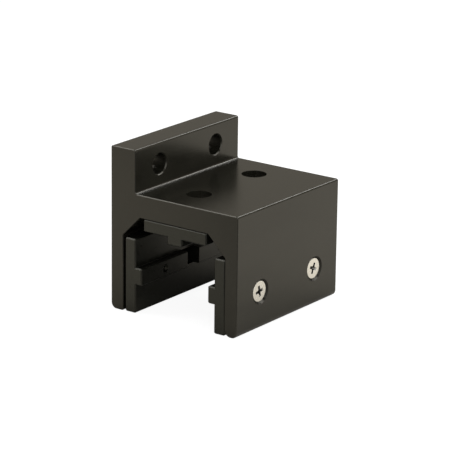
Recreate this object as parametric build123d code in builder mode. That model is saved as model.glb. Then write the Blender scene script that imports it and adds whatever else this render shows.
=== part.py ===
"""Flanged linear bearing that slides along a square T-slot profile.

An extruded aluminium saddle carries three ribbed low-friction pads. Each pad is
held by two flat-head screws, and the rib of each pad runs in one T-slot of the
profile. The flange rises from the left leg and takes two mounting screws.

Millimetres. X runs across the saddle, Y along the travel and Z up. The origin
is on the floor, at the middle of the overall width and length.
"""

from build123d import *
from math import radians, tan
import os

# Profile that the bearing runs on
profile_size = 38.1
running_clearance = 0.05

# Bearing pads, all three of one section
pad_width = 30.3
pad_thickness = 5.05
pad_bevel = 0.45
rib_width = 7.0
rib_depth = 3.0
rib_bevel = 0.45
window_length = 7.7
window_margin = 0.1

# Extruded saddle
body_length = 67.3
side_wall = 5.85
top_wall = 9.3
foot_overhang = 0.1
corner_clearance = 0.79
flange_thickness = 11.9
flange_rise = 17.65
deburr = 0.25

# Roundings of the saddle's section
foot_outer_radius = 2.4
left_foot_inner_radius = 0.6
right_foot_inner_radius = 2.8
top_edge_radius = 0.8
flange_edge_radius = 0.8
flange_root_radius = 0.8
shoulder_radius = 0.6
largest_rounding_share = 0.48

# Holes for the mounting screws, and the pitch that every pair of holes shares
hole_pitch = 36.3
flange_hole_diameter = 8.33
flange_hole_bevel = 0.4

# Flat-head pad screws
screw_diameter = 4.17
screw_length = 12.7
screw_tip_bevel = 0.5
head_diameter = 8.3
head_rim = 0.45
head_angle = 82.0

# Cross recess in each screw head
recess_span = 4.7
recess_slot = 1.15
recess_depth = 2.1
recess_floor_span = 1.9
recess_core = 2.1
recess_draft = 4.0

# Angles at which the recesses of each pad's two screws came to rest
recess_turns = {"left": (40, 5), "right": (11, 67), "ceiling": (25, 80)}

# Seats and bores of the pad screws
mouth_diameter = 10.15
screw_clearance = 0.2
seat_fit = 0.03
thread_fit = 0.03
tap_drill_diameter = 3.45

# Washers that stand the left pad off its wall
washer_diameter = 9.5
washer_thickness = 1.1
washer_bevel = 0.15

# Half of the clear way between the faces of the side pads
half_channel = profile_size / 2 + running_clearance

# Places across the saddle
left_reach = side_wall + washer_thickness + pad_thickness + half_channel
right_reach = half_channel + pad_thickness + side_wall
right_x = (left_reach + right_reach) / 2
left_x = -right_x
channel_x = left_x + left_reach
left_wall_x = left_x + side_wall
right_wall_x = right_x - side_wall
flange_x = left_x + flange_thickness

# Heights above the feet
slot_z = foot_overhang + pad_width / 2
ceiling_z = slot_z + half_channel + pad_thickness
inner_chamfer = ceiling_z - slot_z - pad_width / 2 - corner_clearance
shoulder_z = ceiling_z - inner_chamfer
top_z = ceiling_z + top_wall
flange_top_z = top_z + flange_rise

# The top wall is the thicker one, so its screw seats are sunk until they leave
# as much metal under the heads as the side walls do
top_seat_sink = top_wall - side_wall

# Depth of a head's flat top under the mouth of its countersink
head_slope = tan(radians(head_angle / 2))
head_drop = (mouth_diameter - head_diameter) / 2 / head_slope - head_rim - seat_fit

# Pad seats, each with X along the travel and Z pointing into the channel
left_seat = Plane(
    origin=(left_wall_x + washer_thickness, 0, slot_z), x_dir=(0, 1, 0), z_dir=(1, 0, 0)
)
right_seat = Plane(origin=(right_wall_x, 0, slot_z), x_dir=(0, 1, 0), z_dir=(-1, 0, 0))
ceiling_seat = Plane(origin=(channel_x, 0, ceiling_z), x_dir=(0, 1, 0), z_dir=(0, 0, -1))

# Distance from each pad's seat back to the mouths of its countersinks
left_grip = side_wall + washer_thickness
right_grip = side_wall
ceiling_grip = top_wall - top_seat_sink

# The two stations of every pair of holes along the travel
stations = {"near": -hole_pitch / 2, "far": hole_pitch / 2}


def corner(section, x, z):
    """Corner of a section that is nearest to a given place."""
    return section.vertices().sort_by_distance((x, z))[0]


def limited(radius, wall):
    """Radius kept under half of the wall that it rounds."""
    return min(radius, largest_rounding_share * wall)


def mouths(seat, grip):
    """Plane of the countersinks' mouths, facing out of the metal."""
    return Plane(
        origin=seat.origin - seat.z_dir * grip, x_dir=seat.x_dir, z_dir=-seat.z_dir
    )


def bearing_body():
    """Extruded saddle with its flange, screw seats and mounting holes."""
    with BuildPart() as body:
        # Section across the travel
        with BuildSketch(Plane.XZ) as section:
            with BuildLine():
                Polyline(
                    (left_x, 0),
                    (left_wall_x, 0),
                    (left_wall_x, shoulder_z),
                    (left_wall_x + inner_chamfer, ceiling_z),
                    (right_wall_x - inner_chamfer, ceiling_z),
                    (right_wall_x, shoulder_z),
                    (right_wall_x, 0),
                    (right_x, 0),
                    (right_x, top_z),
                    (flange_x, top_z),
                    (flange_x, flange_top_z),
                    (left_x, flange_top_z),
                    close=True,
                )
            make_face()

            # Rounded feet
            fillet(corner(section, left_x, 0), limited(foot_outer_radius, side_wall))
            fillet(corner(section, left_wall_x, 0), limited(left_foot_inner_radius, side_wall))
            fillet(corner(section, right_wall_x, 0), limited(right_foot_inner_radius, side_wall))
            fillet(corner(section, right_x, 0), limited(foot_outer_radius, side_wall))

            # Outer top edge, flange root and flange tip
            fillet(corner(section, right_x, top_z), limited(top_edge_radius, top_wall))
            fillet(corner(section, flange_x, top_z), flange_root_radius)
            for x in (left_x, flange_x):
                fillet(
                    corner(section, x, flange_top_z),
                    limited(flange_edge_radius, flange_thickness),
                )

            # Both ends of the slanted shoulders inside
            for x, run in ((left_wall_x, inner_chamfer), (right_wall_x, -inner_chamfer)):
                fillet(corner(section, x, shoulder_z), shoulder_radius)
                fillet(corner(section, x + run, ceiling_z), shoulder_radius)
        extrude(amount=body_length / 2, both=True)

        # Light deburring round both sawn ends
        chamfer(body.faces().filter_by(Axis.Y).edges(), length=deburr)

        # Countersunk screw seats through both legs and the top
        for seat, grip in (
            (left_seat, left_grip),
            (right_seat, right_grip),
            (ceiling_seat, ceiling_grip),
        ):
            with Locations(mouths(seat, grip)):
                with GridLocations(hole_pitch, 0, 2, 1):
                    CounterSinkHole(
                        radius=screw_diameter / 2 + screw_clearance,
                        counter_sink_radius=mouth_diameter / 2,
                        depth=screw_length,
                        counter_sink_angle=head_angle,
                    )

        # Through holes for the mounting screws, with broken edges
        with Locations(
            Plane(
                origin=(flange_x, 0, top_z + flange_rise / 2),
                x_dir=(0, 1, 0),
                z_dir=(1, 0, 0),
            )
        ):
            with GridLocations(hole_pitch, 0, 2, 1):
                Hole(radius=flange_hole_diameter / 2, depth=flange_thickness)
        rims = body.edges(Select.LAST).filter_by(GeomType.CIRCLE)
        chamfer(rims, length=flange_hole_bevel)
    return body


def bearing_pad(seat, grip):
    """Pad with its running rib, a window at mid-length and two tapped bores."""
    engagement = head_drop + screw_length - grip
    with BuildPart() as pad:
        # Flat pad with the rib along its middle
        across = Plane(origin=seat.origin, x_dir=seat.y_dir, z_dir=seat.x_dir)
        with BuildSketch(across) as section:
            with Locations((0, pad_thickness / 2)):
                Rectangle(pad_width, pad_thickness)
            with Locations((0, pad_thickness + rib_depth / 2)):
                Rectangle(rib_width, rib_depth)
            pad_corners = section.vertices().group_by(Axis.X)
            chamfer(pad_corners[0] + pad_corners[-1], pad_bevel)
            chamfer(section.vertices().group_by(Axis.Y)[-1], rib_bevel)
        extrude(amount=body_length / 2, both=True)
        chamfer(pad.faces().filter_by(Axis.Y).edges(), length=pad_bevel)

        # Window through the rib and the pad at mid-length
        with BuildSketch(seat):
            Rectangle(window_length, rib_width + 2 * window_margin)
        extrude(amount=pad_thickness + rib_depth, mode=Mode.SUBTRACT)

        # Bores that the screws have threaded, open to the rib's crest
        with Locations(mouths(seat, 0)):
            with GridLocations(hole_pitch, 0, 2, 1):
                Hole(radius=screw_diameter / 2 + thread_fit, depth=engagement)
                Hole(radius=tap_drill_diameter / 2, depth=pad_thickness + rib_depth)
    return pad


def cross_recess():
    """Form of the driver's tip, pointing down from the top of a head."""
    with BuildPart() as tip:
        with BuildSketch():
            Rectangle(recess_span, recess_slot)
            Rectangle(recess_slot, recess_span)
            Circle(recess_core / 2)
        extrude(amount=-recess_depth, taper=recess_draft)
        Cone(
            bottom_radius=recess_floor_span / 2,
            top_radius=recess_span / 2,
            height=recess_depth,
            align=(Align.CENTER, Align.CENTER, Align.MAX),
            mode=Mode.INTERSECT,
        )
    return tip


def flat_head_screw(head_top, driver_tip, turn):
    """Flat-head screw below the plane of its head, its cross turned by an angle."""
    head_radius = head_diameter / 2
    shank_radius = screw_diameter / 2
    cone_end = head_rim + (head_radius - shank_radius) / head_slope
    axial = Plane(origin=head_top.origin, x_dir=head_top.x_dir, z_dir=-head_top.y_dir)
    with BuildPart() as screw:
        # Head, shank and bevelled tip, turned about the screw's axis
        with BuildSketch(axial):
            with BuildLine():
                Polyline(
                    (0, 0),
                    (head_radius, 0),
                    (head_radius, -head_rim),
                    (shank_radius, -cone_end),
                    (shank_radius, screw_tip_bevel - screw_length),
                    (shank_radius - screw_tip_bevel, -screw_length),
                    (0, -screw_length),
                    close=True,
                )
            make_face()
        revolve(axis=Axis(head_top.origin, head_top.z_dir))

        # Cross recess in the head
        with Locations(head_top):
            with Locations(Rotation(0, 0, turn)):
                add(driver_tip.part, mode=Mode.SUBTRACT)
    return screw


def shim_washer(y):
    """Washer between the left wall and the back of the left pad."""
    wall = Plane(origin=(left_wall_x, y, slot_z), x_dir=(0, 1, 0), z_dir=(1, 0, 0))
    with BuildPart() as washer:
        with BuildSketch(wall):
            Circle(washer_diameter / 2)
            Circle(screw_diameter / 2 + screw_clearance, mode=Mode.SUBTRACT)
        extrude(amount=washer_thickness)
        chamfer(washer.edges().filter_by(GeomType.CIRCLE), length=washer_bevel)
    return washer


os.makedirs("parts", exist_ok=True)

# Extruded saddle
body = bearing_body()
body.part.label = "bearing_body"
export_step(body.part, "parts/bearing_body.step")

# Three pads of one section, each with its pair of screws
driver_tip = cross_recess()
for side, seat, grip in (
    ("left", left_seat, left_grip),
    ("right", right_seat, right_grip),
    ("ceiling", ceiling_seat, ceiling_grip),
):
    pad = bearing_pad(seat, grip)
    pad.part.label = f"{side}_pad"
    export_step(pad.part, f"parts/{side}_pad.step")

    head_tops = mouths(seat, grip - head_drop)
    for (station, y), turn in zip(stations.items(), recess_turns[side]):
        top = Plane(
            origin=head_tops.origin + Vector(0, y, 0),
            x_dir=head_tops.x_dir,
            z_dir=head_tops.z_dir,
        )
        screw = flat_head_screw(top, driver_tip, turn)
        screw.part.label = f"{side}_pad_screw_{station}"
        export_step(screw.part, f"parts/{side}_pad_screw_{station}.step")

# Washers behind the left pad
for station, y in stations.items():
    washer = shim_washer(y)
    washer.part.label = f"shim_washer_{station}"
    export_step(washer.part, f"parts/shim_washer_{station}.step")
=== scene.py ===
"""Studio scene of a flanged linear bearing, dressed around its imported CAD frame.

Lengths are metres in the frame of the CAD: X runs across the saddle, Y along the
travel and Z up, with the origin on the floor under the middle of the saddle. The
scales of the materials' noises are in cells per millimetre.
"""

import logging
import math
from collections.abc import Iterable
from dataclasses import dataclass
from enum import Enum
from typing import Any, Union

import bpy
import numpy as np
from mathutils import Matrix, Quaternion, Vector


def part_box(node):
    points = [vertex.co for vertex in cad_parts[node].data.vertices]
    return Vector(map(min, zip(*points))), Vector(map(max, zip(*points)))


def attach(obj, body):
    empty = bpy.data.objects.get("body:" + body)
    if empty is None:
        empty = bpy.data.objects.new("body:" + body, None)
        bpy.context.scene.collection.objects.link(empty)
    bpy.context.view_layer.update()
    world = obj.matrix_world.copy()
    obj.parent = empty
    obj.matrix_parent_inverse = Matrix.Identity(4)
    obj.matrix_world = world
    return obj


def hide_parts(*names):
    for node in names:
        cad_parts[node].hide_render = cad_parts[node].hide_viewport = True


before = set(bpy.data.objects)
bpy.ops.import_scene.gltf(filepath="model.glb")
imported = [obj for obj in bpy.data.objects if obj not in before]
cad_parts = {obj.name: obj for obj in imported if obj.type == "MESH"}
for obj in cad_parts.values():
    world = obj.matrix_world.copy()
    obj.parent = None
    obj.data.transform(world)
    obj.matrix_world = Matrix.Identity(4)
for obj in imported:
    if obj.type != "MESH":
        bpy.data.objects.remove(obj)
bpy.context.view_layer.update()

MM = 0.001
SHARP_ANGLE = math.radians(38.0)
END_FACING = 0.9
EDGE_SAMPLES = 6
EDGE_LIMITS = (0.01, 0.25)
SHADE_SAMPLES = 8
HOLLOW_LIMITS = (0.5, 0.95)
WHITE = (1.0, 1.0, 1.0)

Rgb = tuple[float, float, float]
Triple = tuple[float, float, float]
Limits = tuple[float, float]
Feed = Union[float, Triple, tuple[float, float, float, float], "Wire"]

log = logging.getLogger("flanged_bearing")


class Side(Enum):
    """Wall of the saddle that carries a pad, by the way its screw heads face."""

    LEFT = (-1.0, 0.0, 0.0)
    RIGHT = (1.0, 0.0, 0.0)
    CEILING = (0.0, 0.0, 1.0)

    @property
    def outward(self) -> np.ndarray:
        """Direction that the heads face."""
        return np.array(self.value)

    @property
    def pad(self) -> str:
        """Name of the pad's CAD node, which also starts those of its screws."""
        return f"{self.name.lower()}_pad"


class Station(Enum):
    """Place of a screw along the travel."""

    NEAR = "near"
    FAR = "far"


class Wire:
    """Output socket of a node, whose operators add Math nodes to its graph."""

    def __init__(self, graph: "Graph", socket: bpy.types.NodeSocket) -> None:
        """Keeps the graph that new Math nodes go into."""
        self.graph = graph
        self.socket = socket

    def __getitem__(self, output: Union[int, str]) -> "Wire":
        """Another output of the same node."""
        return Wire(self.graph, self.socket.node.outputs[output])

    def _math(self, operation: str, first: Feed, second: Feed) -> "Wire":
        """Joins two values by one Math node."""
        return self.graph.node(
            "ShaderNodeMath", {"operation": operation}, {0: first, 1: second}
        )

    def __add__(self, other: Feed) -> "Wire":
        """Sum."""
        return self._math("ADD", self, other)

    __radd__ = __add__

    def __sub__(self, other: Feed) -> "Wire":
        """Difference."""
        return self._math("SUBTRACT", self, other)

    def __rsub__(self, other: Feed) -> "Wire":
        """Reflected difference."""
        return self._math("SUBTRACT", other, self)

    def __mul__(self, other: Feed) -> "Wire":
        """Product."""
        return self._math("MULTIPLY", self, other)

    __rmul__ = __mul__

    def __pow__(self, other: Feed) -> "Wire":
        """Power."""
        return self._math("POWER", self, other)

    def __abs__(self) -> "Wire":
        """Size without sign."""
        return self.graph.node("ShaderNodeMath", {"operation": "ABSOLUTE"}, {0: self})

    def __gt__(self, other: Feed) -> "Wire":
        """One where the value is the greater, and else nought."""
        return self._math("GREATER_THAN", self, other)

    def __or__(self, other: Feed) -> "Wire":
        """Greater of two masks."""
        return self._math("MAXIMUM", self, other)

    __ror__ = __or__


@dataclass(frozen=True)
class Noise:
    """Layer of noise: its scale, octaves and roughness, and its stretch by axis."""

    scale: float
    detail: float
    roughness: float
    stretch: Triple = (1.0, 1.0, 1.0)


@dataclass(frozen=True)
class Band:
    """Smooth step along a level direction, from nought at its start to one at its end."""

    x: float
    y: float
    start: float
    end: float


class Graph:
    """Node tree of a material or a world."""

    def __init__(self, tree: bpy.types.NodeTree) -> None:
        """Starts the tree empty."""
        self.tree = tree
        tree.nodes.clear()

    def node(
        self,
        kind: str,
        settings: dict[str, Any] | None = None,
        sockets: dict[Union[int, str], Feed] | None = None,
    ) -> Wire | None:
        """Adds one node.

        Args:
            kind: Type name of the node.
            settings: Properties that are set before the sockets are filled.
            sockets: Values or links of the input sockets, by name or place.

        Returns:
            The node's first output, from which the others are reached by name, or
            nothing where the node has none.
        """
        made = self.tree.nodes.new(kind)
        for name, value in (settings or {}).items():
            setattr(made, name, value)
        for name, value in (sockets or {}).items():
            if isinstance(value, Wire):
                self.tree.links.new(value.socket, made.inputs[name])
            elif isinstance(value, tuple) and len(value) < len(
                made.inputs[name].default_value
            ):
                made.inputs[name].default_value = (*value, 1.0)
            else:
                made.inputs[name].default_value = value
        return Wire(self, made.outputs[0]) if made.outputs else None

    def split(self, vector: Wire) -> Wire:
        """Components of a vector, reached as X, Y and Z."""
        return self.node("ShaderNodeSeparateXYZ", None, {0: vector})

    def facing(self) -> Wire:
        """Components of the surface's normal."""
        return self.split(self.node("ShaderNodeNewGeometry")["Normal"])

    def blend(self, factor: Feed, first: Feed, second: Feed) -> Wire:
        """Mixes two colours.

        Args:
            factor: Share of the second colour.
            first: The first colour.
            second: The second colour.

        Returns:
            The colour between them.
        """
        return self.node(
            "ShaderNodeMix",
            {"data_type": "RGBA", "clamp_factor": True},
            {0: factor, 6: first, 7: second},
        )[2]

    def ramp(self, value: Wire, limits: Limits) -> Wire:
        """Smooth step of a value.

        Args:
            value: The value.
            limits: Where the step begins and ends.

        Returns:
            Nought below the low limit, one above the high one.
        """
        return self.node(
            "ShaderNodeMapRange",
            {"interpolation_type": "SMOOTHSTEP"},
            {"Value": value, "From Min": limits[0], "From Max": limits[1]},
        )

    def band(self, band: Band, spot: Wire) -> Wire:
        """Smooth step of a band at a place given by its components."""
        return self.ramp(band.x * spot["X"] + band.y * spot["Y"], (band.start, band.end))

    def places(self, stretch: Triple = (1.0, 1.0, 1.0)) -> Wire:
        """Object coordinates in millimetres.

        Args:
            stretch: Factor of each axis.

        Returns:
            The coordinates times the factors.
        """
        return self.node(
            "ShaderNodeMapping",
            None,
            {
                "Vector": self.node("ShaderNodeTexCoord")["Object"],
                "Scale": tuple(factor / MM for factor in stretch),
            },
        )

    def noise(self, layer: Noise, places: Wire | None = None) -> Wire:
        """Noise from nought to one.

        Args:
            layer: What the noise is like.
            places: Where it is read, or nothing for the stretched object coordinates.

        Returns:
            The noise.
        """
        return self.node(
            "ShaderNodeTexNoise",
            None,
            {
                "Vector": places or self.places(layer.stretch),
                "Scale": layer.scale,
                "Detail": layer.detail,
                "Roughness": layer.roughness,
            },
        )

    def bump(self, strength: float, distance: float, height: Wire) -> Wire:
        """Roughens the surface by a relief.

        Args:
            strength: Share of the relief that shows.
            distance: Height of a relief of one, in metres.
            height: The relief.

        Returns:
            The normal.
        """
        return self.node(
            "ShaderNodeBump",
            None,
            {"Strength": strength, "Distance": distance, "Height": height},
        )

    def within_mouths(self, spot: Wire, radius: float) -> Wire:
        """Mask of the metal inside the mouths of the pad screws' countersinks.

        Args:
            spot: Components of the place in millimetres.
            radius: Radius about each screw's axis, in millimetres.

        Returns:
            One inside, and else nought.
        """
        mask = 0.0
        for side in Side:
            low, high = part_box(f"{side.pad}_screw_{Station.FAR.value}")
            x, y, z = ((a + b) / 2 / MM for a, b in zip(low, high))
            along = abs(spot["Y"]) - y
            across = spot["X"] - x if side is Side.CEILING else spot["Z"] - z
            gap = (along * along + across * across) ** 0.5
            mask = mask | (1.0 - (gap > radius))
        return mask

    def edges(self, radius: float) -> Wire:
        """Mask of the sharp edges, from how far a rounded normal leaves the flat one.

        Args:
            radius: Reach of the mask from an edge, in metres.

        Returns:
            Nought on flat ground, rising towards one at an edge.
        """
        rounded = self.node("ShaderNodeBevel", {"samples": EDGE_SAMPLES}, {"Radius": radius})
        flat = self.node("ShaderNodeNewGeometry")["Normal"]
        likeness = self.node(
            "ShaderNodeVectorMath", {"operation": "DOT_PRODUCT"}, {0: rounded, 1: flat}
        )["Value"]
        return self.ramp(1.0 - likeness, EDGE_LIMITS)

    def openness(self, reach: float, only_local: bool = False) -> Wire:
        """How much of a near distance is open.

        Args:
            reach: The distance, in metres.
            only_local: Whether other pieces don't count.

        Returns:
            One on open ground, falling towards nought in a corner.
        """
        return self.node(
            "ShaderNodeAmbientOcclusion",
            {"samples": SHADE_SAMPLES, "only_local": only_local},
            {"Distance": reach},
        )["AO"]


def mixture(shares: Iterable[float], layers: Iterable[Wire]) -> Wire:
    """Sum of layers, each by its share."""
    return sum(share * layer for share, layer in zip(shares, layers))


def either(mask: Wire, inside: Feed, outside: Feed) -> Wire:
    """One value where a mask is one, and another where it is nought."""
    return mask * inside + (1.0 - mask) * outside


@dataclass(frozen=True)
class Finish:
    """A surface finish, whose shader is laid out by its kind."""

    slot: str

    def layout(self, graph: Graph) -> Wire:
        """Adds the shader's nodes and gives its output."""
        raise NotImplementedError

    def material(self) -> bpy.types.Material:
        """Makes the material, named for the record's slot.

        Returns:
            The material.
        """
        made = bpy.data.materials.new(self.slot)
        made.use_nodes = True
        graph = Graph(made.node_tree)
        graph.node("ShaderNodeOutputMaterial", None, {"Surface": self.layout(graph)})
        return made


@dataclass(frozen=True)
class DarkAnodised(Finish):
    """Dark bronze anodising on drawn and sawn aluminium, pale at its edges from wear and a
    painted highlight, with painted shade in its countersinks.
    """

    slot: str = "dark_anodised"
    deep: Rgb = (0.0068, 0.0067, 0.0047)
    pale: Rgb = (0.0121, 0.0118, 0.0083)
    painted_shade: Rgb = (0.0030, 0.0030, 0.0022)
    rubbed_lit_edge: Rgb = (0.130, 0.121, 0.100)
    tone_limits: Limits = (0.36, 0.64)
    specular_tint: Rgb = (1.0, 0.955, 0.84)
    ior: float = 1.5

    die_lines: Noise = Noise(3.2, 3.0, 0.65, (1.0, 0.006, 1.0))
    fine_lines: Noise = Noise(11.0, 2.0, 0.6, (1.0, 0.015, 1.0))
    saw_arcs: Noise = Noise(4.0, 3.0, 0.7)
    bath_clouds: Noise = Noise(0.11, 3.0, 0.55, (1.0, 0.35, 1.0))
    grain: Noise = Noise(9.0, 2.0, 0.7)
    patches: Noise = Noise(0.7, 4.0, 0.7)
    saw_centre: tuple[float, float] = (-95.0, 150.0)
    saw_drift: float = 0.02
    drawn_tone: Triple = (0.55, 0.30, 0.15)
    sawn_tone: Triple = (0.45, 0.35, 0.20)
    drawn_relief: Triple = (0.6, 0.25, 0.15)
    sawn_relief: tuple[float, float] = (0.8, 0.3)
    line_depth: float = 0.004 * MM
    bump_strength: float = 0.55

    drawn_roughness: float = 0.24
    sawn_roughness: float = 0.36
    cloud_roughness: float = 0.10
    line_roughness: float = 0.06
    mouth_roughness: float = 0.45
    upward_limits: Limits = (0.4, 0.6)
    mouth_radius: float = 5.05
    edge_reach: float = 0.30 * MM
    edge_wear: float = 0.8
    least_wear: float = 0.25
    patch_limits: Limits = (0.42, 0.68)

    def layout(self, graph: Graph) -> Wire:
        """Draws die lines along the travel on the drawn sides and saw arcs on the ends.

        Args:
            graph: The material's graph.

        Returns:
            The shader.
        """
        facing = graph.facing()
        sawn = abs(facing["Y"]) > END_FACING

        # Lines that the die leaves, very long along the travel
        lines, fine_lines = graph.noise(self.die_lines), graph.noise(self.fine_lines)

        # Arcs of a large saw blade, rings about a far centre
        spot = graph.split(graph.places())
        across = spot["X"] - self.saw_centre[0]
        up = spot["Z"] - self.saw_centre[1]
        radius = (across * across + up * up) ** 0.5
        swept = graph.node(
            "ShaderNodeCombineXYZ", None, {"X": radius, "Y": self.saw_drift * spot["X"]}
        )
        arcs = graph.noise(self.saw_arcs, swept)

        # Clouds of the anodising bath and a fine grain over everything
        clouds, grain = graph.noise(self.bath_clouds), graph.noise(self.grain)
        tone = either(
            sawn,
            mixture(self.sawn_tone, (clouds, arcs, grain)),
            mixture(self.drawn_tone, (clouds, lines, grain)),
        )
        skin = graph.blend(graph.ramp(tone, self.tone_limits), self.deep, self.pale)

        # Pale edges, partly wear and partly a painted highlight, broken up by a patchy noise
        patchy = graph.ramp(graph.noise(self.patches), self.patch_limits)
        wear = graph.edges(self.edge_reach) * either(patchy, 1.0, self.least_wear)
        edged_skin = graph.blend(wear * self.edge_wear, skin, self.rubbed_lit_edge)

        # Painted shade in the countersinks, told by their distance from the screws' axes: the
        # metal inside their mouths is painted nearly black
        sunk = graph.within_mouths(spot, self.mouth_radius)
        colour = graph.blend(sunk, edged_skin, self.painted_shade)

        # The painted-shade mouths are also made rough, except on their walls that look up
        rough_mouth = sunk * (1.0 - graph.ramp(facing["Z"], self.upward_limits))
        roughness = (
            either(sawn, self.sawn_roughness, self.drawn_roughness)
            + self.cloud_roughness * (clouds - 0.5)
            + self.line_roughness * (lines - 0.5)
            + self.mouth_roughness * rough_mouth
        )
        relief = either(
            sawn,
            mixture(self.sawn_relief, (arcs, grain)),
            mixture(self.drawn_relief, (lines, fine_lines, grain)),
        )
        return graph.node(
            "ShaderNodeBsdfPrincipled",
            None,
            {
                "Base Color": colour,
                "Roughness": roughness,
                "IOR": self.ior,
                "Specular Tint": self.specular_tint,
                "Normal": graph.bump(self.bump_strength, self.line_depth, relief),
            },
        )


@dataclass(frozen=True)
class BlackPad(Finish):
    """Matte black low-friction plastic, machined along the travel; its cut ends are painted
    paler than its sides, and its edges are pale from wear and a painted highlight.
    """

    slot: str = "black_pad"
    deep: Rgb = (0.0032, 0.0036, 0.0025)
    pale: Rgb = (0.0070, 0.0074, 0.0053)
    end_lit_deep: Rgb = (0.0105, 0.0109, 0.0082)
    end_lit_pale: Rgb = (0.0175, 0.0179, 0.0138)
    scuffed_lit_edge: Rgb = (0.170, 0.168, 0.145)
    tone_limits: Limits = (0.35, 0.65)
    specular_tint: Rgb = (1.0, 0.98, 0.86)
    ior: float = 1.42

    cutter_lines: Noise = Noise(2.4, 3.0, 0.7, (1.0, 0.01, 1.0))
    mottle: Noise = Noise(0.45, 4.0, 0.6)
    grain: Noise = Noise(7.0, 2.0, 0.6)
    tone: Triple = (0.5, 0.3, 0.2)
    relief: tuple[float, float] = (0.5, 0.5)
    line_depth: float = 0.006 * MM
    bump_strength: float = 0.6

    roughness: float = 0.31
    mottle_roughness: float = 0.16
    line_roughness: float = 0.10
    edge_reach: float = 0.22 * MM
    least_wear: float = 0.30
    mottle_wear: float = 0.5

    def layout(self, graph: Graph) -> Wire:
        """Gives cutter lines along the travel and a soft mottle.

        Args:
            graph: The material's graph.

        Returns:
            The shader.
        """
        lines, mottle = graph.noise(self.cutter_lines), graph.noise(self.mottle)
        grain = graph.noise(self.grain)
        cut = abs(graph.facing()["Y"]) > END_FACING
        # Painted light and shade: the cut ends take paler colours, and the sides, which lie in
        # the channel's shade, darker ones
        skin = graph.blend(
            graph.ramp(mixture(self.tone, (mottle, lines, grain)), self.tone_limits),
            graph.blend(cut, self.deep, self.end_lit_deep),
            graph.blend(cut, self.pale, self.end_lit_pale),
        )
        # Pale edges, partly wear and partly a painted highlight along the bevels
        wear = graph.edges(self.edge_reach) * (self.least_wear + self.mottle_wear * mottle)
        relief = mixture(self.relief, (lines, grain))
        return graph.node(
            "ShaderNodeBsdfPrincipled",
            None,
            {
                "Base Color": graph.blend(wear, skin, self.scuffed_lit_edge),
                "Roughness": self.roughness
                + self.mottle_roughness * (mottle - 0.5)
                + self.line_roughness * (lines - 0.5),
                "IOR": self.ior,
                "Specular Tint": self.specular_tint,
                "Normal": graph.bump(self.bump_strength, self.line_depth, relief),
            },
        )


@dataclass(frozen=True)
class PlatedSteel(Finish):
    """Plated steel, bright where its edges wear, with painted shade that darkens its hollows.
    """

    slot: str = "nickel_screw"
    bright: Rgb = (0.93, 0.91, 0.85)
    dull: Rgb = (0.76, 0.74, 0.69)
    painted_shade: Rgb = (0.022, 0.021, 0.018)
    tone_limits: Limits = (0.34, 0.66)

    mottle: Noise = Noise(1.3, 3.0, 0.6)
    grain: Noise = Noise(8.0, 3.0, 0.65)
    tone: tuple[float, float] = (0.6, 0.4)
    relief: tuple[float, float] = (0.5, 0.5)
    grain_depth: float = 0.006 * MM
    bump_strength: float = 0.5

    roughness: float = 0.27
    mottle_roughness: float = 0.18
    hollow_roughness: float = 0.30
    hollow_reach: float = 2.2 * MM
    edge_reach: float = 0.12 * MM
    edge_wear: float = 0.5

    def layout(self, graph: Graph) -> Wire:
        """Mixes a bright plating with a duller mottle, and paints shade into its hollows.

        Args:
            graph: The material's graph.

        Returns:
            The shader.
        """
        mottle, grain = graph.noise(self.mottle), graph.noise(self.grain)
        skin = graph.blend(
            graph.ramp(mixture(self.tone, (mottle, grain)), self.tone_limits),
            self.dull,
            self.bright,
        )
        # Painted shade: hollows told by ambient occlusion are made nearly black and rougher
        hollow = 1.0 - graph.ramp(
            graph.openness(self.hollow_reach, only_local=True), HOLLOW_LIMITS
        )
        wear = graph.edges(self.edge_reach) * self.edge_wear
        relief = mixture(self.relief, (grain, mottle))
        return graph.node(
            "ShaderNodeBsdfPrincipled",
            None,
            {
                "Base Color": graph.blend(
                    wear, graph.blend(hollow, skin, self.painted_shade), self.bright
                ),
                "Metallic": 1.0,
                "Roughness": self.roughness
                + self.mottle_roughness * (mottle - 0.5)
                + self.hollow_roughness * hollow,
                "Normal": graph.bump(self.bump_strength, self.grain_depth, relief),
            },
        )


def dress(name: str, material: bpy.types.Material) -> None:
    """Gives a CAD node a material.

    Args:
        name: The node.
        material: What it takes in its slots.
    """
    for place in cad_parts[name].material_slots:
        place.material = material
    log.info("%s dressed in %s", name, material.name)


def closed_mesh(name: str, rows: np.ndarray, poles: np.ndarray) -> bpy.types.Object:
    """Makes a closed surface from rings of points.

    Each ring is joined to the next by four-sided faces, and the first and the last
    ring are closed by a fan of triangles round a pole.

    Args:
        name: Name of the object.
        rows: Places of the points, by ring, by place round the ring and by axis.
        poles: The two poles, the one inside the first ring first.

    Returns:
        The object, at the origin.
    """
    rings, around = rows.shape[:2]
    number = np.arange(rings * around).reshape(rings, around)
    ahead = np.roll(number, -1, axis=1)
    walls = np.stack([number[:-1], number[1:], ahead[1:], ahead[:-1]], axis=-1)
    first, last = rings * around, rings * around + 1
    inner = np.stack([np.full(around, first), number[0], ahead[0]], axis=-1)
    outer = np.stack([np.full(around, last), ahead[-1], number[-1]], axis=-1)
    mesh = bpy.data.meshes.new(name)
    mesh.from_pydata(
        np.concatenate([rows.reshape(-1, 3), poles]).tolist(),
        [],
        walls.reshape(-1, 4).tolist() + inner.tolist() + outer.tolist(),
    )
    mesh.shade_smooth()
    mesh.set_sharp_from_angle(angle=SHARP_ANGLE)
    made = bpy.data.objects.new(name, mesh)
    bpy.context.scene.collection.objects.link(made)
    return made


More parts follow.
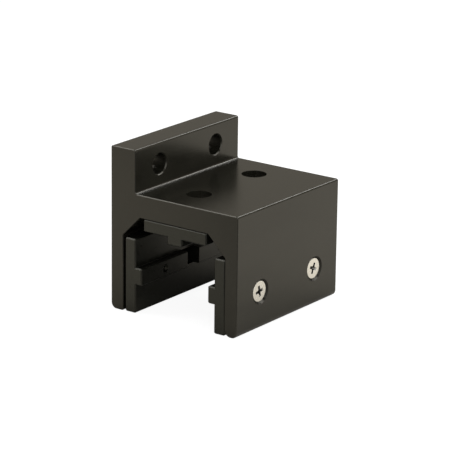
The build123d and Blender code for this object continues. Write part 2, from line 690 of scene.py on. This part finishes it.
@dataclass(frozen=True)
class FlatHeadScrew:
    """Flat-head screw with a cross recess and a rolled thread, made as one closed surface."""

    length: float = 12.7 * MM
    head_radius: float = 4.15 * MM
    head_rim: float = 0.45 * MM
    head_angle: float = math.radians(82.0)
    edge_round: float = 0.10 * MM
    shank_radius: float = 2.085 * MM
    tip_bevel: float = 0.55 * MM
    tip_dome: float = 0.25 * MM
    tip_radius: float = 1.45 * MM

    pitch: float = 0.794 * MM
    thread_depth: float = 0.40 * MM
    flank_slope: float = 1.5
    root_share: float = 0.25

    arm_length: float = 2.35 * MM
    arm_width: float = 0.575 * MM
    core_radius: float = 1.05 * MM
    recess_depth: float = 2.1 * MM
    recess_floor: float = 0.95 * MM
    recess_draft: float = math.tan(math.radians(4.0))
    lip_round: float = 0.07 * MM

    corner_counts: tuple[int, ...] = (5, 7, 5, 7, 5)
    wall_rings: int = 12
    bend_rings: int = 4
    flat_rings: int = 7
    cone_rings: int = 7
    thread_rings: int = 129
    bevel_rings: int = 3
    dome_rings: int = 4

    def angles(self) -> np.ndarray:
        """Angles round the axis, gathered at the corners of the cross.

        Returns:
            Angles of one turn, the same in each quarter.
        """
        outer = math.atan2(self.arm_width, self.arm_length)
        inner = math.asin(self.arm_width / self.core_radius)
        stops = np.array([0.0, outer, inner, math.pi / 2 - inner, math.pi / 2 - outer])
        spans = zip(stops, np.append(stops[1:], math.pi / 2), self.corner_counts)
        quarter = np.concatenate([np.linspace(a, b, n, endpoint=False) for a, b, n in spans])
        return np.concatenate([quarter + k * math.pi / 2 for k in range(4)])

    def recess_reach(self, angle: np.ndarray, depth: np.ndarray) -> np.ndarray:
        """Reach of the recess from the axis.

        A bar reaches as far as the nearer of its end and its side, the cross as far
        as the farthest of its two bars and its round core. Each wall leans in by the
        draft, and a cone that narrows to the floor cuts all of them short.

        Args:
            angle: Angles round the axis.
            depth: Depths below the head's top.

        Returns:
            The reach for each depth and angle.
        """
        tiny = 1e-9
        lean = depth[:, None] * self.recess_draft
        run, rise = np.abs(np.cos(angle)) + tiny, np.abs(np.sin(angle)) + tiny
        half_length, half_width = self.arm_length - lean, self.arm_width - lean
        one = np.minimum(half_length / run, half_width / rise)
        other = np.minimum(half_length / rise, half_width / run)
        cross = np.maximum(np.maximum(one, other), self.core_radius - lean)
        share = depth[:, None] / self.recess_depth
        cone = self.arm_length + share * (self.recess_floor - self.arm_length)
        return np.minimum(cross, cone)

    def surface(self) -> tuple[np.ndarray, np.ndarray]:
        """Radius and height of the whole skin, from the recess's floor to the tip.

        The thread is a ridge whose height is a triangle wave of the turn less the
        height over the pitch, cut flat at crest and root, and faded in and out.

        Returns:
            The radii and the heights, each by ring and by angle.
        """
        angle = self.angles()
        whole = np.ones_like(angle)

        # Recess wall from the floor up to its rounded lip
        depth = np.linspace(self.recess_depth, self.lip_round, self.wall_rings)
        wall = self.recess_reach(angle, depth)
        bend = np.linspace(0.0, math.pi / 2, self.bend_rings + 1)[1:, None]
        lip = wall[-1] + self.lip_round * (1.0 - np.cos(bend))
        lip_height = -self.lip_round * (1.0 - np.sin(bend)) * whole

        # Flat top, rounded edge and rim of the head
        share = np.linspace(0.0, 1.0, self.flat_rings + 1)[1:, None]
        flat_end = self.head_radius - self.edge_round
        flat = lip[-1] + share * (flat_end - lip[-1])
        edge = (flat_end + self.edge_round * np.sin(bend)) * whole
        edge_height = -self.edge_round * (1.0 - np.cos(bend)) * whole

        # Cone under the head, down to the shank
        slope = math.tan(self.head_angle / 2)
        cone_end = -self.head_rim - (self.head_radius - self.shank_radius) / slope
        share = np.linspace(0.0, 1.0, self.cone_rings)[:, None]
        cone = (self.head_radius + share * (self.shank_radius - self.head_radius)) * whole
        cone_height = (-self.head_rim + share * (cone_end + self.head_rim)) * whole

        # Thread
        tip = -self.length + self.tip_bevel
        height = np.linspace(cone_end, tip, self.thread_rings + 1)[1:, None]
        phase = (angle / (2 * math.pi) - height / self.pitch) % 1.0
        triangle = np.abs(2.0 * phase - 1.0)
        wave = np.clip(self.flank_slope * triangle - self.root_share, 0.0, 1.0)
        fade = np.clip((cone_end - height) / self.pitch, 0.0, 1.0)
        thread = self.shank_radius - self.thread_depth * (1.0 - wave) * fade

        # Bevel of the tip
        share = np.linspace(0.0, 1.0, self.bevel_rings + 1)[1:, None]
        shoulder = self.tip_bevel - self.tip_dome
        bevel = thread[-1] - share * (thread[-1] - self.tip_radius)
        bevel_height = (tip - share * shoulder) * whole

        # Domed end, as high above its rim as the square of the radius tells
        inward = np.linspace(1.0, 0.0, self.dome_rings + 2)[1:-1, None]
        dome = self.tip_radius * inward * whole
        dome_height = (tip - shoulder - self.tip_dome * (1.0 - inward**2)) * whole

        radii = np.concatenate([wall, lip, flat, edge, cone, thread, bevel, dome])
        heights = np.concatenate(
            [
                -depth[:, None] * whole,
                lip_height,
                0.0 * flat,
                edge_height,
                cone_height,
                height * whole,
                bevel_height,
                dome_height,
            ]
        )
        return radii, heights

    def build(self, side: Side, station: Station, turn: float) -> bpy.types.Object:
        """Builds the screw where its CAD node is.

        The radius goes round the screw's axis by cosine and sine, the height along it.

        Args:
            side: Wall that the screw goes through.
            station: Its place along the travel.
            turn: Degrees that its cross is turned by.

        Returns:
            The screw.
        """
        node = f"{side.pad}_screw_{station.value}"
        low, high = (np.array(corner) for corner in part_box(node))
        outward = side.outward
        top = (low + high) / 2 + outward * self.length / 2
        along = np.array([0.0, 1.0, 0.0])
        across = np.cross(outward, along)
        radii, heights = self.surface()
        swing = self.angles() + math.radians(turn)
        places = (
            top
            + (radii * np.cos(swing))[..., None] * along
            + (radii * np.sin(swing))[..., None] * across
            + heights[..., None] * outward
        )
        poles = top + np.outer([-self.recess_depth, -self.length], outward)
        screw = closed_mesh(f"{node}_threaded", places, poles)
        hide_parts(node)
        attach(screw, "root")
        return screw


@dataclass(frozen=True)
class Saddle:
    """Extruded saddle with its flange."""

    node: str = "bearing_body"
    finish: Finish = DarkAnodised()

    def build(self) -> None:
        """Dresses the extrusion."""
        dress(self.node, self.finish.material())


@dataclass(frozen=True)
class PadSet:
    """One running pad and the two screws that hold it, with the turns of their crosses."""

    side: Side
    turns: tuple[float, float]
    screw: FlatHeadScrew = FlatHeadScrew()

    def build(self, plastic: bpy.types.Material, plating: bpy.types.Material) -> None:
        """Dresses the pad and builds its screws.

        Args:
            plastic: The pad's material.
            plating: The screws' material.
        """
        dress(self.side.pad, plastic)
        for station, turn in zip(Station, self.turns):
            screw = self.screw.build(self.side, station, turn)
            screw.data.materials.append(plating)
            log.info("%s built", screw.name)


@dataclass(frozen=True)
class ShimWashers:
    """Washers that stand the left pad off its wall."""

    finish: Finish

    def build(self) -> None:
        """Dresses both washers."""
        material = self.finish.material()
        for station in Station:
            dress(f"shim_washer_{station.value}", material)


@dataclass
class Softbox:
    """Rectangular light that faces the bearing."""

    name: str
    direction: Triple
    distance: float
    width: float
    height: float
    radiance: float

    def build(self, target: Vector) -> None:
        """Hangs the light.

        Args:
            target: The place that it faces.
        """
        lamp = bpy.data.lights.new(self.name, "AREA")
        lamp.shape = "RECTANGLE"
        lamp.size, lamp.size_y = self.width, self.height
        lamp.energy = self.radiance * math.pi * self.width * self.height
        made = bpy.data.objects.new(self.name, lamp)
        bpy.context.scene.collection.objects.link(made)
        towards = Vector(self.direction).normalized()
        made.location = target + towards * self.distance
        made.rotation_mode = "QUATERNION"
        made.rotation_quaternion = towards.to_track_quat("Z", "Y")
        log.info("%s hung", self.name)


@dataclass
class Studio:
    """Pale floor, soft surroundings, softboxes and the camera."""

    target: Triple = (0.0, 0.0, 0.033)
    softboxes: tuple[Softbox, ...] = (
        Softbox("back_softbox", (0.08, 0.77, 0.62), 0.9, 0.26, 0.24, 7.0),
        Softbox("front_softbox", (0.40, -0.62, 0.66), 1.1, 0.7, 0.5, 1.4),
        Softbox("top_softbox", (-0.56, -0.29, 0.77), 1.0, 0.36, 0.36, 4.4),
        Softbox("side_softbox", (0.93, -0.28, 0.24), 1.2, 1.8, 1.0, 1.4),
        Softbox("high_softbox", (0.46, 0.38, 0.80), 1.0, 0.60, 0.60, 2.6),
    )

    floor_reach: float = 4.0
    floor_colour: Rgb = (0.80, 0.80, 0.80)
    sweep_glow: float = 0.90
    sweep_colour: Rgb = (0.30, 0.30, 0.30)
    contact_reach: float = 0.08
    contact_power: float = 1.6
    front: Band = Band(0.0, -1.0, 0.03, 0.06)
    past_near_front: Band = Band(-0.59, -0.81, 0.06, 0.24)
    front_right: Band = Band(0.7, -0.7, 0.045, 0.10)
    rear_gain: float = 0.76
    front_gain: float = 0.35
    near_front_loss: float = 0.36
    front_right_loss: float = 0.92

    mirrored_tint: Rgb = (1.0, 0.925, 0.78)
    fill: float = 0.22
    high_glow: float = 0.20
    back_glow: float = 0.365
    right_glow: float = 0.12
    back_left: Band = Band(-0.60, 0.77, -0.2, 0.75)
    right: Band = Band(1.0, 0.0, 0.1, 0.5)
    back: Band = Band(0.0, 1.0, 0.0, 0.4)
    high_limits: Limits = (0.3, 0.6)

    camera_azimuth: float = math.radians(36.2701)
    camera_elevation: float = math.radians(17.1472)
    camera_roll: float = math.radians(0.6811)
    camera_distance: float = 1.0335991
    camera_aim: Triple = (-0.0013535, 0.0016521, 0.0310820)
    lens: float = 209.4733
    sensor: float = 36.0
    clip: Limits = (0.05, 20.0)

    def seen(self, graph: Graph) -> Wire:
        """One for the rays that show a surrounding itself or its mirror image."""
        path = graph.node("ShaderNodeLightPath")
        return path["Is Camera Ray"] + path["Is Glossy Ray"] + path["Is Transmission Ray"]

    def glow(self, graph: Graph, mirrored: Wire) -> dict[str, Feed]:
        """Glow that is white where it is seen itself, and warm and dimmer in mirror images.

        Args:
            graph: Graph of the floor's material or of the world.
            mirrored: Strength in the mirror images.

        Returns:
            Colour and strength, by the names of their sockets.
        """
        direct = graph.node("ShaderNodeLightPath")["Is Camera Ray"]
        return {
            "Color": graph.blend(direct, self.mirrored_tint, WHITE),
            "Strength": either(direct, 1.0, mirrored),
        }

    def floor(self) -> None:
        """Lays the floor, a single square whose material keeps the object's shadow."""
        u, v = np.meshgrid(np.linspace(-1.0, 1.0, 2), np.linspace(-1.0, 1.0, 2))
        places = np.stack([u, v, 0.0 * u], axis=-1).reshape(-1, 3) * self.floor_reach
        mesh = bpy.data.meshes.new("floor")
        mesh.from_pydata(places.tolist(), [], [(0, 1, 3, 2)])
        made = bpy.data.objects.new("floor", mesh)
        bpy.context.scene.collection.objects.link(made)
        material = bpy.data.materials.new("floor")
        material.use_nodes = True
        mesh.materials.append(material)

        # Strength in the mirror images, dim where the faces that show it are dark, with a
        # painted contact shadow from ambient occlusion round the bearing
        graph = Graph(material.node_tree)
        spot = graph.split(graph.node("ShaderNodeTexCoord")["Object"])
        front = graph.band(self.front, spot)
        near_front = front * (1.0 - graph.band(self.past_near_front, spot))
        mirrored = (
            graph.openness(self.contact_reach) ** self.contact_power
            * (self.rear_gain + self.front_gain * front)
            * (1.0 - self.near_front_loss * near_front)
            * (1.0 - self.front_right_loss * graph.band(self.front_right, spot))
        )
        glow = self.glow(graph, mirrored)
        glow["Strength"] = self.sweep_glow * glow["Strength"]

        lit = graph.node("ShaderNodeBsdfDiffuse", None, {"Color": self.floor_colour})
        sweep = graph.node("ShaderNodeBsdfDiffuse", None, {"Color": self.sweep_colour})
        glowing = graph.node("ShaderNodeEmission", None, glow)
        pale = graph.node("ShaderNodeAddShader", None, {0: sweep, 1: glowing})
        surface = graph.node(
            "ShaderNodeMixShader", None, {0: self.seen(graph), 1: lit, 2: pale}
        )
        graph.node("ShaderNodeOutputMaterial", None, {"Surface": surface})

    def surroundings(self) -> None:
        """Fills the world with soft light, white where it is seen itself."""
        world = bpy.data.worlds.new("surroundings")
        world.use_nodes = True
        graph = Graph(world.node_tree)
        way = graph.split(graph.node("ShaderNodeTexCoord")["Generated"])
        low_right = (
            graph.band(self.right, way)
            * graph.band(self.back, way)
            * (1.0 - graph.ramp(way["Z"], self.high_limits))
        )
        mirrored = (
            self.high_glow
            + (self.back_glow - self.high_glow) * graph.band(self.back_left, way)
            + self.right_glow * low_right
        )
        soft = graph.node("ShaderNodeBackground", None, {"Strength": self.fill})
        white = graph.node("ShaderNodeBackground", None, self.glow(graph, mirrored))
        surface = graph.node(
            "ShaderNodeMixShader", None, {0: self.seen(graph), 1: soft, 2: white}
        )
        graph.node("ShaderNodeOutputWorld", None, {"Surface": surface})
        bpy.context.scene.world = world

    def camera(self) -> None:
        """Sets the camera at the photograph's viewing angle."""
        level = math.cos(self.camera_elevation)
        back = Vector(
            (
                math.sin(self.camera_azimuth) * level,
                -math.cos(self.camera_azimuth) * level,
                math.sin(self.camera_elevation),
            )
        )
        data = bpy.data.cameras.new("camera")
        data.lens = self.lens
        data.sensor_width = self.sensor
        data.clip_start, data.clip_end = self.clip
        made = bpy.data.objects.new("camera", data)
        bpy.context.scene.collection.objects.link(made)
        made.location = Vector(self.camera_aim) + back * self.camera_distance
        made.rotation_mode = "QUATERNION"
        roll = Quaternion((0.0, 0.0, 1.0), self.camera_roll)
        made.rotation_quaternion = back.to_track_quat("Z", "Y") @ roll
        bpy.context.scene.camera = made

    def build(self) -> None:
        """Sets up the whole studio."""
        self.floor()
        self.surroundings()
        for softbox in self.softboxes:
            softbox.build(Vector(self.target))
        self.camera()
        bpy.context.scene.view_settings.view_transform = "Standard"
        log.info("studio set up")


def main() -> None:
    """Dresses the bearing and sets up the studio around it."""
    logging.basicConfig(level=logging.INFO)
    Saddle().build()
    plastic, plating = BlackPad().material(), PlatedSteel().material()
    for pad_set in (
        PadSet(Side.LEFT, (40.0, 5.0)),
        PadSet(Side.RIGHT, (11.0, 67.0)),
        PadSet(Side.CEILING, (25.0, 80.0)),
    ):
        pad_set.build(plastic, plating)
    ShimWashers(
        PlatedSteel(
            slot="zinc_washer",
            bright=(0.58, 0.60, 0.62),
            dull=(0.36, 0.38, 0.40),
            roughness=0.38,
        )
    ).build()
    Studio().build()


if __name__ == "__main__":
    main()
